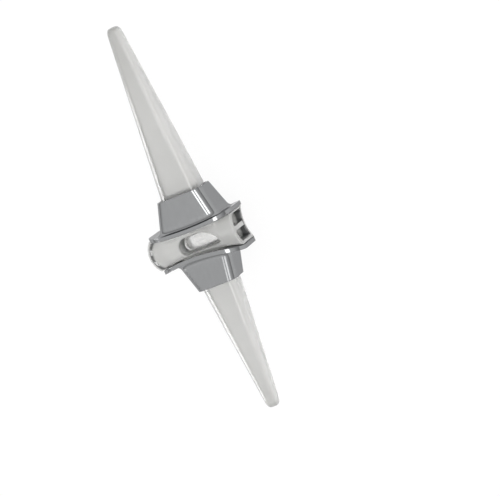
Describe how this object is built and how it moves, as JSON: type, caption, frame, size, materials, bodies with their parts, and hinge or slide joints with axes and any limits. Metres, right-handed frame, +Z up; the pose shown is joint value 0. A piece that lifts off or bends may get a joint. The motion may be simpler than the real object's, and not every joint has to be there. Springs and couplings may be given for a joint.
{
  "type": "finger joint implant",
  "caption": "Flexible silicone finger joint implant: tapered stems either side of a bending barrel, each stem wearing a flared metal grommet with a bowed flange.",
  "frame": {"origin": "centre of the whole outline seen from above, on the surface that the implant lies on", "axes": "+Y along the stems towards the proximal tip, +X towards the volar side where the barrel is hollow, +Z up through the barrel's lateral sides and parallel to the bending axis"},
  "size_m": [0.0144, 0.0578, 0.01],
  "materials": {
    "silicone": "clear grey silicone rubber, smooth and glossy",
    "grommet_metal": "satin titanium sheet, polished at the corners"
  },
  "bodies": {
    "proximal": {"silicone_implant": "silicone", "proximal_grommet": "grommet_metal"},
    "distal": {"distal_grommet": "grommet_metal"}
  },
  "joints": [
    {"name": "flexion", "type": "hinge", "parent": "proximal", "child": "distal", "pos_m": [0.00077, -0.0028, 0.005], "axis": [0, 0, 1], "range_deg": [-10, 40], "stiffness_Nm_per_rad": 0.01, "deforming": ["silicone_implant"]}
  ]
}
